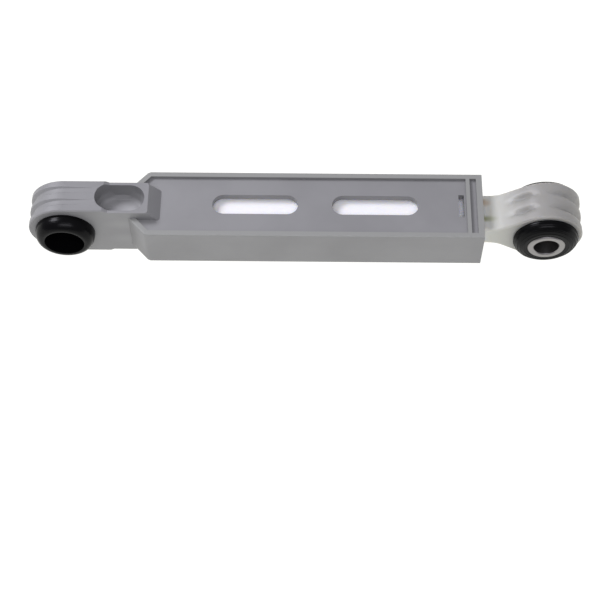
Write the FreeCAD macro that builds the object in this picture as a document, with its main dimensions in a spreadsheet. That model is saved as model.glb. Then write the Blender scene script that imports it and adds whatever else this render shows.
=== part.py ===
import FreeCAD, Part
import math
import os
import Sketcher
from FreeCAD import Vector

# Friction damper of a washing machine tub, closed, in millimetres.
# The origin is the centre of the housing's eye. +X runs along the damper to the plunger's eye,
# +Y along both eye bores, and +Z stands up from the flat side that the damper lies on.

doc = FreeCAD.newDocument("ShockAbsorber")

# Driving dimensions
dimensions = [
    ("eyeToEye", 185.0, "between the eye centres, closed"),
    ("stroke", 75.0, "travel of the plunger"),
    ("eyeRadius", 14.1, "outside of both eyes, over the lobes"),
    ("bodyWidth", 29.0, "housing tube along Y"),
    ("bodyHeight", 19.0, "housing tube along Z"),
    ("bodyEnd", 160.5, "mouth of the housing tube"),
    ("shoulderStart", 25.0, "where the neck begins to widen"),
    ("shoulderEnd", 31.8, "where the tube has its full width"),
    ("shoulderRound", 2.5, "upright corners of the tube"),
    ("edgeRound", 0.6, "outer long edges of the tube"),
    ("rimWidth", 2.2, "rim round the sunk panel"),
    ("recessDepth", 1.4, "panel below the rim"),
    ("panelThickness", 2.7, "wall under the sunk panel"),
    ("sideWall", 2.25, "side walls of the tube"),
    ("cavityStart", 38.5, "closed end of the plunger's space"),
    ("mouthFace", 2.3, "end wall at the mouth"),
    ("mouthGroove", 2.5, "groove behind the end wall"),
    ("mouthRib", 1.5, "rib between groove and panel"),
    ("slotOneStart", 56.8, "first slot"),
    ("slotOneEnd", 89.7, "first slot"),
    ("slotTwoStart", 102.7, "second slot"),
    ("slotTwoEnd", 135.9, "second slot"),
    ("slotWidth", 8.6, "both slots"),
    ("slotOffset", 0.6, "both slots, off the middle"),
    ("windowStart", 151.3, "small window by the mouth"),
    ("windowLength", 2.1, "along X"),
    ("windowWidth", 10.0, "along Y"),
    ("neckDrop", 1.2, "neck between eye and tube, below the eye's crown"),
    ("neckEnd", 32.6, "top of the neck's sloped end"),
    ("neckFoot", 37.0, "foot of that slope on the panel"),
    ("neckCorner", 1.0, "rounded sides of that slope"),
    ("scoopStart", 12.2, "oval scoop in the neck"),
    ("scoopEnd", 31.2, "oval scoop in the neck"),
    ("scoopWidth", 11.6, "oval scoop in the neck"),
    ("scoopDepth", 8.0, "oval scoop in the neck"),
    ("scoopBevel", 1.4, "slope round the scoop's floor"),
    ("eyeWidth", 13.9, "housing eye and neck along Y"),
    ("eyeEdge", 0.4, "bevelled edges of the housing eye"),
    ("crownLevel", 15.4, "where the eye's crown starts to fall"),
    ("crownEnd", 17.4, "where it meets the neck"),
    ("valleyPlace", 2.75, "two valleys round the housing eye, off the middle"),
    ("valleyFloor", 0.9, "half width of a valley's floor"),
    ("valleyReach", 2.0, "how far its sloped sides rise and spread"),
    ("valleyCrown", 0.5, "depth above the eye's centre"),
    ("valleyFlank", 1.2, "depth at the far side of the eye"),
    ("valleyFade", 12.4, "where the valleys end by the scoop"),
    ("housingEyeWall", 3.6, "round the housing eye's bore"),
    ("housingBushOverlap", 1.0, "flange over the eye's face, outside the bore"),
    ("housingBushHole", 7.6, "radius of the bush's hole"),
    ("housingDomeFront", 5.65, "bush's front tip beyond the eye's face"),
    ("housingDomeRear", 2.05, "bush's rear tip beyond the eye's face"),
    ("domeFacets", 2.0, "facets across the domes of this bush"),
    ("blockThickness", 3.85, "guide blocks beside the bar, along Y"),
    ("flareReach", 19.6, "flare's start before the eye centre"),
    ("flareAngle", 33.0, "slope of the flare, degrees"),
    ("flareRound", 10.0, "bend at the flare's start"),
    ("topGap", 0.8, "room above and below the bar"),
    ("barEdge", 0.6, "bevelled edges of the bar and of the plunger's eye"),
    ("headLength", 28.0, "inner end that carries the linings"),
    ("runnerLength", 15.0, "of the head that nearly fills the tube's height"),
    ("liningMargin", 3.0, "cheeks before and behind a lining"),
    ("liningThickness", 2.6, "friction linings"),
    ("liningSeat", 1.0, "depth of their seats in the head"),
    ("liningHeight", 7.6, "along Z"),
    ("hollowShare", 0.395, "place of two rows of hollows, from the eye's middle to its face"),
    ("hollowFloor", 0.3, "half width of a hollow's floor"),
    ("hollowReach", 2.6, "how far its sloped sides rise and spread"),
    ("flankDepth", 1.5, "hollows at the far side of the eye"),
    ("crownDepth", 1.0, "hollows where the flares meet the eye"),
    ("crownHollow", 10.0, "radius of these hollows, seen from the side"),
    ("crownSetBack", 2.2, "of their deepest spot, down the flare"),
    ("plungerEyeWall", 2.8, "round the plunger eye's bore"),
    ("plungerBushOverlap", 1.1, "flange over the eye's face, outside the bore"),
    ("plungerDomeFront", 4.5, "bush's front tip beyond the eye's face"),
    ("plungerDomeRear", 2.3, "bush's rear tip beyond the eye's face"),
    ("domeSteps", 2.0, "steps in the domes of this bush"),
    ("stepHeight", 0.4, "height of these steps"),
    ("sleeveWall", 2.34, "wall of the steel sleeve"),
    ("sleeveInner", 4.8, "radius of its bore"),
    ("sleeveProud", 0.25, "beyond the bush's front tip"),
    ("sleeveProudRear", 0.75, "beyond its rear tip"),
    ("sleeveChamfer", 0.5, "its ends"),
    ("blockSnap", 3.4, "snap rib of a guide block, along X"),
    ("blockSnapDepth", 0.8, "how far the rib enters the wall"),
    ("blockSnapHeight", 6.0, "along Z"),
    ("blockSnapSetBack", 7.5, "rib's end before the mouth"),
    ("blockInset", 0.5, "blocks behind the mouth"),
    ("blockLead", 1.0, "lead-in at a block's inner corner"),
    ("slideGap", 0.3, "clearance round the bar"),
    ("seatGap", 0.1, "clearance of blocks and linings in the housing"),
    ("endGap", 0.5, "behind the head, closed"),
    ("stopGap", 0.3, "before the stop, fully drawn out"),
]

# Places that follow from them
derived = [
    ("bodyHalfWidth", "=bodyWidth / 2"),
    ("bodyHalfHeight", "=bodyHeight / 2"),
    ("neckHalfWidth", "=eyeWidth / 2"),
    ("neckHalfHeight", "=eyeRadius - neckDrop"),
    ("floorHeight", "=bodyHalfHeight - recessDepth"),
    ("cavityHalfHeight", "=floorHeight - panelThickness"),
    ("cavityHalfWidth", "=bodyHalfWidth - sideWall"),
    ("recessHalfWidth", "=bodyHalfWidth - rimWidth"),
    ("housingBore", "=eyeRadius - housingEyeWall"),
    ("housingBushFlange", "=housingBore + housingBushOverlap"),
    ("housingBushFront", "=neckHalfWidth + housingDomeFront"),
    ("housingBushRear", "=neckHalfWidth + housingDomeRear"),
    ("plungerBore", "=eyeRadius - plungerEyeWall"),
    ("plungerBushFlange", "=plungerBore + plungerBushOverlap"),
    ("sleeveOuter", "=sleeveInner + sleeveWall"),
    ("shoulderRun", "=shoulderEnd - shoulderStart"),
    ("shoulderRise", "=bodyHalfWidth - neckHalfWidth"),
    ("shoulderSlant", "=sqrt(shoulderRun ^ 2 + shoulderRise ^ 2)"),
    ("recessSlantStart", "=shoulderStart + rimWidth * shoulderSlant / shoulderRise"),
    ("recessCorner", "=recessSlantStart + (recessHalfWidth - neckHalfWidth) * shoulderRun / shoulderRise"),
    ("recessNoseHalf", "=neckHalfWidth - sideWall"),
    ("recessNose", "=recessSlantStart - sideWall * shoulderRun / shoulderRise"),
    ("grooveEnd", "=bodyEnd - mouthFace"),
    ("grooveStart", "=grooveEnd - mouthGroove"),
    ("recessEnd", "=grooveStart - mouthRib"),
    ("slotRadius", "=slotWidth / 2"),
    ("windowEnd", "=windowStart + windowLength"),
    ("windowLow", "=slotOffset - windowWidth / 2"),
    ("windowHigh", "=slotOffset + windowWidth / 2"),
    ("scoopRadius", "=scoopWidth / 2"),
    ("scoopFloor", "=neckHalfHeight - scoopDepth"),
    ("flankFloor", "=eyeRadius - valleyFlank"),
    ("crownFloor", "=eyeRadius - valleyCrown"),
    ("valleyRadius", "=(flankFloor ^ 2 + crownFloor ^ 2) / (2 * flankFloor)"),
    ("valleyCentre", "=valleyRadius - flankFloor"),
    ("blockInner", "=cavityHalfWidth - blockThickness"),
    ("barHalfWidth", "=blockInner - slideGap"),
    ("plungerBushFront", "=barHalfWidth + plungerDomeFront"),
    ("plungerBushRear", "=barHalfWidth + plungerDomeRear"),
    ("sleeveFront", "=plungerBushFront + sleeveProud"),
    ("sleeveRear", "=plungerBushRear + sleeveProudRear"),
    ("hollowPlace", "=hollowShare * barHalfWidth"),
    ("plungerWidth", "=2 * barHalfWidth"),
    ("runnerHalfHeight", "=cavityHalfHeight - slideGap"),
    ("barHalfHeight", "=cavityHalfHeight - topGap"),
    ("barStart", "=cavityStart + endGap"),
    ("headEnd", "=barStart + headLength"),
    ("liningStart", "=barStart + liningMargin"),
    ("liningEnd", "=headEnd - liningMargin"),
    ("liningOuter", "=cavityHalfWidth - seatGap"),
    ("liningInner", "=liningOuter - liningThickness"),
    ("headHalfWidth", "=liningInner + liningSeat"),
    ("stopStart", "=headEnd + stroke + stopGap"),
    ("blockEnd", "=bodyEnd - blockInset"),
    ("snapEnd", "=bodyEnd - blockSnapSetBack"),
    ("snapStart", "=snapEnd - blockSnap"),
    ("snapOuter", "=cavityHalfWidth + blockSnapDepth"),
    ("flareStart", "=eyeToEye - flareReach"),
    ("crownOut", "=eyeRadius + crownHollow - crownDepth"),
    ("crownCentre", "=eyeToEye - crownOut * sin(flareAngle) - crownSetBack * cos(flareAngle)"),
    ("crownHeight", "=crownOut * cos(flareAngle) - crownSetBack * sin(flareAngle)"),
    ("flankCentre", "=eyeToEye - flankDepth"),
]

sheet = doc.addObject("Spreadsheet::Sheet", "Sizes")
for row, (alias, number, note) in enumerate(dimensions, 1):
    sheet.set(f"A{row}", alias)
    sheet.set(f"B{row}", str(number))
    sheet.set(f"C{row}", note)
    sheet.setAlias(f"B{row}", alias)
for row, (alias, formula) in enumerate(derived, 1):
    sheet.set(f"D{row}", alias)
    sheet.set(f"E{row}", formula)
    sheet.setAlias(f"E{row}", alias)
doc.recompute()


def size(alias):
    return float(sheet.get(alias))


def bind(feature, field, formula):
    feature.setExpression(field, formula)


# Sketches on a body's own origin planes

def originPlane(body, role):
    return [item for item in body.Origin.OriginFeatures if item.Role == role][0]


def newSketch(body, name, role, lift=None):
    sketch = body.newObject("Sketcher::SketchObject", name)
    sketch.AttachmentSupport = [(originPlane(body, role), "")]
    sketch.MapMode = "FlatFace"
    if lift:
        bind(sketch, "AttachmentOffset.Base.z", lift)
    return sketch


def constrain(sketch, kind, formula, *parts):
    number = sketch.evalExpression(formula)
    index = sketch.addConstraint(Sketcher.Constraint(kind, *parts, number))
    bind(sketch, f"Constraints[{index}]", formula)


def holdPoint(sketch, line, end, x, y):
    constrain(sketch, "DistanceX", x, -1, 1, line, end)
    constrain(sketch, "DistanceY", y, -1, 1, line, end)


# A closed outline of straight lines, its corners given as pairs of formulas
def polygon(sketch, corners):
    spots = [Vector(sketch.evalExpression(x), sketch.evalExpression(y), 0) for x, y in corners]
    lines = []
    for index, spot in enumerate(spots):
        following = spots[(index + 1) % len(spots)]
        lines.append(sketch.addGeometry(Part.LineSegment(spot, following), False))
    for index, line in enumerate(lines):
        following = lines[(index + 1) % len(lines)]
        sketch.addConstraint(Sketcher.Constraint("Coincident", line, 2, following, 1))
    for line, (x, y) in zip(lines, corners):
        holdPoint(sketch, line, 1, x, y)


def rectangle(sketch, left, right, low, high):
    polygon(sketch, [(left, low), (right, low), (right, high), (left, high)])


def circle(sketch, radius):
    number = sketch.evalExpression(radius)
    ring = sketch.addGeometry(Part.Circle(Vector(0, 0, 0), Vector(0, 0, 1), number), False)
    sketch.addConstraint(Sketcher.Constraint("Coincident", ring, 3, -1, 1))
    constrain(sketch, "Radius", radius, ring)


# A slot along X with round ends: left and right are the ends, middle its Y
def obround(sketch, left, right, middle, radius):
    reach = sketch.evalExpression(radius)
    height = sketch.evalExpression(middle)
    leftMiddle = Vector(sketch.evalExpression(left) + reach, height, 0)
    rightMiddle = Vector(sketch.evalExpression(right) - reach, height, 0)
    up = Vector(0, reach, 0)
    axis = Vector(0, 0, 1)
    quarter = math.pi / 2
    leftArc = Part.ArcOfCircle(Part.Circle(leftMiddle, axis, reach), quarter, 3 * quarter)
    rightArc = Part.ArcOfCircle(Part.Circle(rightMiddle, axis, reach), -quarter, quarter)
    leftEnd = sketch.addGeometry(leftArc, False)
    rightEnd = sketch.addGeometry(rightArc, False)
    top = sketch.addGeometry(Part.LineSegment(leftMiddle + up, rightMiddle + up), False)
    bottom = sketch.addGeometry(Part.LineSegment(rightMiddle - up, leftMiddle - up), False)
    for arc, arcEnd, line, lineEnd in (
        (leftEnd, 1, top, 1),
        (leftEnd, 2, bottom, 2),
        (rightEnd, 1, bottom, 1),
        (rightEnd, 2, top, 2),
    ):
        sketch.addConstraint(Sketcher.Constraint("Tangent", arc, arcEnd, line, lineEnd))
    sketch.addConstraint(Sketcher.Constraint("Equal", leftEnd, rightEnd))
    sketch.addConstraint(Sketcher.Constraint("Horizontal", top))
    constrain(sketch, "Radius", radius, leftEnd)
    holdPoint(sketch, leftEnd, 3, f"{left} + {radius}", middle)
    constrain(sketch, "DistanceX", f"{right} - {radius}", -1, 1, rightEnd, 3)


# Features

def newBody(label):
    body = doc.addObject("PartDesign::Body", label)
    body.Label = label
    return body


def added(body, feature):
    body.Tip = feature
    doc.recompute()
    return feature


def pad(body, sketch, name, length, symmetric=True):
    feature = body.newObject("PartDesign::Pad", name)
    feature.Profile = sketch
    feature.SideType = "Symmetric" if symmetric else "One side"
    bind(feature, "Length", length)
    return added(body, feature)


# A cut against the sketch's normal, or to both sides of it, that has to take material away
def pocket(body, sketch, name, length=None, symmetric=False):
    before = body.Shape.Volume
    feature = body.newObject("PartDesign::Pocket", name)
    feature.Profile = sketch
    feature.SideType = "Symmetric" if symmetric else "One side"
    if length:
        bind(feature, "Length", length)
    else:
        feature.Type = "ThroughAll"
    added(body, feature)
    if body.Shape.Volume > before - 0.1:
        raise RuntimeError(name + " cuts nothing")
    return feature


def revolve(body, sketch, name):
    feature = body.newObject("PartDesign::Revolution", name)
    feature.Profile = sketch
    feature.ReferenceAxis = (sketch, ["V_Axis"])
    feature.Angle = 360.0
    return added(body, feature)


def mirrored(body, name, features, plane="XY_Plane"):
    feature = body.newObject("PartDesign::Mirrored", name)
    feature.Originals = features
    feature.MirrorPlane = (originPlane(body, plane), [""])
    return added(body, feature)


# A wedge turned about a line parallel to Y, to cut a valley with sloped sides. The name is the
# stem of the sizes that hold its place, floor and reach.
def wedgeTurn(body, name, stem, lift, centre, floor, mouth, angle):
    before = body.Shape.Volume
    sketch = newSketch(body, name + "Section", "XY_Plane", lift)
    place = f"Sizes.{stem}Place"
    narrow = f"Sizes.{stem}Floor"
    wide = f"(Sizes.{stem}Floor + Sizes.{stem}Reach)"
    polygon(sketch, [
        (floor, f"{place} - {narrow}"),
        (mouth, f"{place} - {wide}"),
        (mouth, f"{place} + {wide}"),
        (floor, f"{place} + {narrow}"),
    ])
    foot = Vector(sketch.evalExpression(centre), 0, 0)
    line = sketch.addGeometry(Part.LineSegment(foot, foot + Vector(0, 1, 0)), True)
    sketch.addConstraint(Sketcher.Constraint("Vertical", line))
    sketch.addConstraint(Sketcher.Constraint("PointOnObject", line, 1, -1))
    constrain(sketch, "DistanceX", centre, -1, 1, line, 1)
    constrain(sketch, "DistanceY", "1", line, 1, line, 2)
    feature = body.newObject("PartDesign::Groove", name)
    feature.Profile = sketch
    feature.ReferenceAxis = (sketch, ["Axis0"])
    feature.Midplane = True
    feature.Angle = angle
    added(body, feature)
    if body.Shape.Volume > before - 0.1:
        raise RuntimeError(name + " cuts nothing")
    return feature


# Section of a valley across X, its floor at that height above or below the centre
def wedgeSection(body, name, x, side, height):
    sketch = newSketch(body, name, "YZ_Plane", x)
    wide = "(Sizes.valleyFloor + Sizes.valleyReach)"
    floor = f"{side}({height})"
    mouth = f"{side}({height} + Sizes.valleyReach)"
    polygon(sketch, [
        ("Sizes.valleyPlace - Sizes.valleyFloor", floor),
        (f"Sizes.valleyPlace - {wide}", mouth),
        (f"Sizes.valleyPlace + {wide}", mouth),
        ("Sizes.valleyPlace + Sizes.valleyFloor", floor),
    ])
    return sketch


def edgeFeature(body, kind, name, wanted):
    base = body.Tip
    names = [f"Edge{index}" for index, edge in enumerate(base.Shape.Edges, 1) if wanted(edge)]
    if not names:
        raise RuntimeError(name + " finds no edge")
    feature = body.newObject(kind, name)
    feature.Base = (base, names)
    return feature


def fillet(body, name, radius, wanted):
    feature = edgeFeature(body, "PartDesign::Fillet", name, wanted)
    bind(feature, "Radius", radius)
    return added(body, feature)


def bevel(body, name, width, wanted):
    feature = edgeFeature(body, "PartDesign::Chamfer", name, wanted)
    bind(feature, "Size", width)
    return added(body, feature)


def middle(edge):
    return edge.valueAt((edge.FirstParameter + edge.LastParameter) / 2)


def near(number, target):
    return abs(number - target) < 0.001


# Housing: a tube with sunk panels and slots, and a ribbed eye on a scooped neck
def makeHousing():
    body = newBody("housing")

    sketch = newSketch(body, "tubePlan", "XY_Plane")
    polygon(sketch, [
        ("Sizes.shoulderStart", "-Sizes.neckHalfWidth"),
        ("Sizes.shoulderEnd", "-Sizes.bodyHalfWidth"),
        ("Sizes.bodyEnd", "-Sizes.bodyHalfWidth"),
        ("Sizes.bodyEnd", "Sizes.bodyHalfWidth"),
        ("Sizes.shoulderEnd", "Sizes.bodyHalfWidth"),
        ("Sizes.shoulderStart", "Sizes.neckHalfWidth"),
    ])
    pad(body, sketch, "tube", "Sizes.bodyHeight")

    # the upright corners first, then the long edges and the shoulders' edges, not those at the mouth
    def shoulderCorner(edge):
        spot = middle(edge)
        return near(spot.x, size("shoulderEnd")) and near(spot.z, 0)
    fillet(body, "shoulderCorners", "Sizes.shoulderRound", shoulderCorner)

    def outerEdge(edge):
        spot = middle(edge)
        if near(spot.x, size("bodyEnd")) or near(spot.x, size("shoulderStart")):
            return False
        return True
    fillet(body, "tubeEdges", "Sizes.edgeRound", outerEdge)

    sketch = newSketch(body, "recessPlan", "XY_Plane", "Sizes.bodyHalfHeight")
    polygon(sketch, [
        ("Sizes.recessNose", "-Sizes.recessNoseHalf"),
        ("Sizes.recessCorner", "-Sizes.recessHalfWidth"),
        ("Sizes.recessEnd", "-Sizes.recessHalfWidth"),
        ("Sizes.recessEnd", "Sizes.recessHalfWidth"),
        ("Sizes.recessCorner", "Sizes.recessHalfWidth"),
        ("Sizes.recessNose", "Sizes.recessNoseHalf"),
    ])
    recess = pocket(body, sketch, "recess", "Sizes.recessDepth")

    sketch = newSketch(body, "groovePlan", "XY_Plane", "Sizes.bodyHalfHeight")
    rectangle(sketch, "Sizes.grooveStart", "Sizes.grooveEnd",
              "-Sizes.recessHalfWidth", "Sizes.recessHalfWidth")
    mouthGroove = pocket(body, sketch, "mouthGroove", "Sizes.recessDepth")
    mirrored(body, "recessBelow", [recess, mouthGroove])

    # neck, sloped where it meets the panels
    sketch = newSketch(body, "neckSide", "XZ_Plane")
    polygon(sketch, [
        ("Sizes.scoopStart - Sizes.eyeRadius", "-Sizes.neckHalfHeight"),
        ("Sizes.neckEnd", "-Sizes.neckHalfHeight"),
        ("Sizes.neckFoot", "-Sizes.floorHeight"),
        ("Sizes.neckFoot", "Sizes.floorHeight"),
        ("Sizes.neckEnd", "Sizes.neckHalfHeight"),
        ("Sizes.scoopStart - Sizes.eyeRadius", "Sizes.neckHalfHeight"),
    ])
    pad(body, sketch, "neck", "Sizes.eyeWidth")

    def slopeSide(edge):
        spot = middle(edge)
        onSlope = size("neckEnd") < spot.x < size("neckFoot") and abs(spot.z) > size("floorHeight")
        return onSlope and near(abs(spot.y), size("neckHalfWidth"))
    fillet(body, "neckCorners", "Sizes.neckCorner", slopeSide)

    # eye with a level crown that falls to the neck
    sketch = newSketch(body, "eyeSide", "XZ_Plane")
    radius = size("eyeRadius")
    quarter = math.pi / 2
    crown = Part.ArcOfCircle(Part.Circle(Vector(0, 0, 0), Vector(0, 0, 1), radius), quarter, 3 * quarter)
    arc = sketch.addGeometry(crown, False)
    corners = [
        ("0", "-Sizes.eyeRadius"),
        ("Sizes.crownLevel", "-Sizes.eyeRadius"),
        ("Sizes.crownEnd", "-Sizes.neckHalfHeight"),
        ("Sizes.crownEnd", "Sizes.neckHalfHeight"),
        ("Sizes.crownLevel", "Sizes.eyeRadius"),
        ("0", "Sizes.eyeRadius"),
    ]
    spots = [Vector(sketch.evalExpression(x), sketch.evalExpression(y), 0) for x, y in corners]
    lines = [sketch.addGeometry(Part.LineSegment(a, b), False) for a, b in zip(spots, spots[1:])]
    sketch.addConstraint(Sketcher.Constraint("Coincident", arc, 3, -1, 1))
    sketch.addConstraint(Sketcher.Constraint("Coincident", arc, 2, lines[0], 1))
    sketch.addConstraint(Sketcher.Constraint("Coincident", arc, 1, lines[-1], 2))
    sketch.addConstraint(Sketcher.Constraint("PointOnObject", arc, 1, -2))
    sketch.addConstraint(Sketcher.Constraint("PointOnObject", arc, 2, -2))
    constrain(sketch, "Radius", "Sizes.eyeRadius", arc)
    for line, following, (x, y) in zip(lines, lines[1:], corners[1:]):
        sketch.addConstraint(Sketcher.Constraint("Coincident", line, 2, following, 1))
        holdPoint(sketch, following, 1, x, y)
    pad(body, sketch, "eye", "Sizes.eyeWidth")

    def eyeRim(edge):
        spot = middle(edge)
        onEye = near(math.hypot(spot.x, spot.z), size("eyeRadius")) and spot.x < 0
        onLevel = near(abs(spot.z), size("eyeRadius")) and 0 < spot.x < size("crownLevel")
        return (onEye or onLevel) and near(abs(spot.y), size("neckHalfWidth"))
    bevel(body, "eyeEdges", "Sizes.eyeEdge", eyeRim)

    # valleys leave three lobes round the eye: wedges turned about a centre behind the eye's own,
    # and tapered wedges that fade along the crown
    flank = wedgeTurn(body, "valleyFlank", "valley", "0", "Sizes.valleyCentre", "-Sizes.flankFloor",
                      "-Sizes.flankFloor - Sizes.valleyReach", 180.0)
    mirrored(body, "valleyFlanks", [flank], "XZ_Plane")
    for name, side in (("valleyAbove", ""), ("valleyBelow", "-")):
        deepEnd = wedgeSection(body, name + "Start", "Sizes.valleyCentre", side, "Sizes.valleyRadius")
        fadeEnd = wedgeSection(body, name + "End", "Sizes.valleyFade", side, "Sizes.eyeRadius")
        valley = body.newObject("PartDesign::SubtractiveLoft", name)
        valley.Profile = deepEnd
        valley.Sections = [fadeEnd]
        valley.Ruled = True
        added(body, valley)
        mirrored(body, name + "Pair", [valley], "XZ_Plane")

    sketch = newSketch(body, "boreSide", "XZ_Plane")
    circle(sketch, "Sizes.housingBore")
    pocket(body, sketch, "eyeBore", symmetric=True)

    # oval scoop in the neck, above and below
    sketch = newSketch(body, "scoopPlan", "XY_Plane", "Sizes.eyeRadius")
    obround(sketch, "Sizes.scoopStart", "Sizes.scoopEnd", "0", "Sizes.scoopRadius")
    scoop = pocket(body, sketch, "scoop", "Sizes.eyeRadius - Sizes.scoopFloor")
    mirrored(body, "scoopBelow", [scoop])

    def scoopFloorEdge(edge):
        spot = middle(edge)
        inside = size("scoopStart") - 0.01 < spot.x < size("scoopEnd") + 0.01
        return inside and near(abs(spot.z), size("scoopFloor")) and abs(spot.y) < size("scoopWidth")
    bevel(body, "scoopFloors", "Sizes.scoopBevel", scoopFloorEdge)

    # the plunger's space, with a recess for the guide blocks' snap ribs in each side wall
    sketch = newSketch(body, "cavityPlan", "XY_Plane")
    rectangle(sketch, "Sizes.cavityStart", "Sizes.bodyEnd + 1",
              "-Sizes.cavityHalfWidth", "Sizes.cavityHalfWidth")
    pocket(body, sketch, "cavity", "2 * Sizes.cavityHalfHeight", symmetric=True)
    sketch = newSketch(body, "snapPlan", "XY_Plane")
    rectangle(sketch, "Sizes.snapStart - Sizes.seatGap", "Sizes.snapEnd + Sizes.seatGap",
              "-Sizes.snapOuter - Sizes.seatGap", "Sizes.snapOuter + Sizes.seatGap")
    pocket(body, sketch, "snapRecess", "Sizes.blockSnapHeight + 2 * Sizes.seatGap", symmetric=True)

    # slots and window, through both panels
    for name in ("slotOne", "slotTwo"):
        sketch = newSketch(body, name + "Plan", "XY_Plane")
        obround(sketch, f"Sizes.{name}Start", f"Sizes.{name}End", "Sizes.slotOffset", "Sizes.slotRadius")
        pocket(body, sketch, name, symmetric=True)
    sketch = newSketch(body, "windowPlan", "XY_Plane")
    rectangle(sketch, "Sizes.windowStart", "Sizes.windowEnd", "Sizes.windowLow", "Sizes.windowHigh")
    pocket(body, sketch, "window", symmetric=True)
    return body


# Side view of the plunger's end: two flares that touch the eye's circle
def plungerEyeOutline():
    radius = size("eyeRadius")
    middleX = size("eyeToEye")
    slope = math.radians(size("flareAngle"))
    thickness = size("barHalfHeight")
    touch = Vector(middleX - radius * math.sin(slope), radius * math.cos(slope), 0)
    run = (touch.y - thickness) / math.tan(slope)
    bend = Vector(touch.x - run, thickness, 0)
    setBack = size("flareRound") * math.tan(slope / 2)
    bendStart = Vector(bend.x - setBack, thickness, 0)
    bendEnd = bend + Vector(math.cos(slope), math.sin(slope), 0) * setBack
    bendCentre = bendStart + Vector(0, size("flareRound"), 0)
    bendMiddle = bendCentre + Vector(math.sin(slope / 2), -math.cos(slope / 2), 0) * size("flareRound")
    return touch, bendStart, bendMiddle, bendEnd


def flipped(spot):
    return Vector(spot.x, -spot.y, 0)


# Plunger: bar, head for the linings and a ribbed eye on a flared neck, moulded in one
def makePlunger():
    body = newBody("plunger")
    touch, bendStart, bendMiddle, bendEnd = plungerEyeOutline()

    sketch = newSketch(body, "barPlan", "XY_Plane")
    rectangle(sketch, "Sizes.barStart", "Sizes.flareStart", "-Sizes.barHalfWidth", "Sizes.barHalfWidth")
    pad(body, sketch, "bar", "2 * Sizes.barHalfHeight")

    # eye and flares
    sketch = newSketch(body, "eyeSide", "XZ_Plane")
    centre = Vector(size("eyeToEye"), 0, 0)
    farSide = centre + Vector(size("eyeRadius"), 0, 0)
    start = Vector(bendStart.x - size("barEdge"), bendStart.y, 0)
    outline = [
        Part.Arc(touch, farSide, flipped(touch)),
        Part.LineSegment(flipped(touch), flipped(bendEnd)),
        Part.Arc(flipped(bendEnd), flipped(bendMiddle), flipped(bendStart)),
        Part.LineSegment(flipped(bendStart), flipped(start)),
        Part.LineSegment(flipped(start), start),
        Part.LineSegment(start, bendStart),
        Part.Arc(bendStart, bendMiddle, bendEnd),
        Part.LineSegment(bendEnd, touch),
    ]
    sketch.addGeometry(outline, False)
    pad(body, sketch, "eye", "Sizes.plungerWidth")

    def sideEdge(edge):
        spot = middle(edge)
        return near(abs(spot.y), size("barHalfWidth")) and not near(spot.x, size("barStart"))
    bevel(body, "sideEdges", "Sizes.barEdge", sideEdge)

    # head, with a seat for a lining in each side
    sketch = newSketch(body, "headPlan", "XY_Plane")
    outer = "Sizes.headHalfWidth"
    inner = "Sizes.liningInner"
    polygon(sketch, [
        ("Sizes.barStart", "-" + outer),
        ("Sizes.liningStart", "-" + outer),
        ("Sizes.liningStart", "-" + inner),
        ("Sizes.liningEnd", "-" + inner),
        ("Sizes.liningEnd", "-" + outer),
        ("Sizes.headEnd", "-" + outer),
        ("Sizes.headEnd", outer),
        ("Sizes.liningEnd", outer),
        ("Sizes.liningEnd", inner),
        ("Sizes.liningStart", inner),
        ("Sizes.liningStart", outer),
        ("Sizes.barStart", outer),
    ])
    pad(body, sketch, "head", "2 * Sizes.barHalfHeight")

    # runners above and below the head's end
    sketch = newSketch(body, "runnerPlan", "XY_Plane")
    rectangle(sketch, "Sizes.barStart", "Sizes.barStart + Sizes.runnerLength",
              "-Sizes.barHalfWidth", "Sizes.barHalfWidth")
    pad(body, sketch, "runners", "2 * Sizes.runnerHalfHeight")

    # hollows leave three lobes that fade at the crown of the eye
    floor = "Sizes.flankCentre + Sizes.eyeRadius"
    flank = wedgeTurn(body, "flank", "hollow", "0", "Sizes.flankCentre", floor,
                      floor + " + Sizes.hollowReach", 180.0)
    mirrored(body, "flanks", [flank], "XZ_Plane")
    floor = "Sizes.crownCentre + Sizes.crownHollow"
    for name, side in (("hollowAbove", ""), ("hollowBelow", "-")):
        hollow = wedgeTurn(body, name, "hollow", f"{side}Sizes.crownHeight", "Sizes.crownCentre", floor,
                           floor + " - Sizes.hollowReach", 360.0)
        mirrored(body, name + "Pair", [hollow], "XZ_Plane")

    sketch = newSketch(body, "boreSide", "XZ_Plane")
    ring = sketch.addGeometry(Part.Circle(centre, Vector(0, 0, 1), size("plungerBore")), False)
    constrain(sketch, "Radius", "Sizes.plungerBore", ring)
    holdPoint(sketch, ring, 3, "Sizes.eyeToEye", "0")
    pocket(body, sketch, "eyeBore", symmetric=True)
    return body


# Half section of a bush: plain in the bore, a dome of short steps over each face, X outwards
def bushSection(body, bore, hole, face, flange, tips, rings, step):
    sketch = newSketch(body, "bushHalf", "XY_Plane")
    edges = []
    for side, tip in zip((-1, 1), tips):
        spots = [(bore, 0), (bore, face), (flange, face)]
        for ring in range(1, rings + 1):
            turn = ring / (rings + 1) * math.pi / 2
            radius = hole + (flange - hole) * math.cos(turn)
            height = face + (tip - face) * math.sin(turn)
            if step:
                spots.append((radius, height - step))
            spots.append((radius, height))
        spots.append((hole, tip))
        chain = [Vector(x, side * y, 0) for x, y in spots]
        edges += [Part.LineSegment(start, end) for start, end in zip(chain, chain[1:])]
    edges.append(Part.LineSegment(Vector(hole, -tips[0], 0), Vector(hole, tips[1], 0)))
    sketch.addGeometry(edges, False)
    revolve(body, sketch, "bush")


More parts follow.
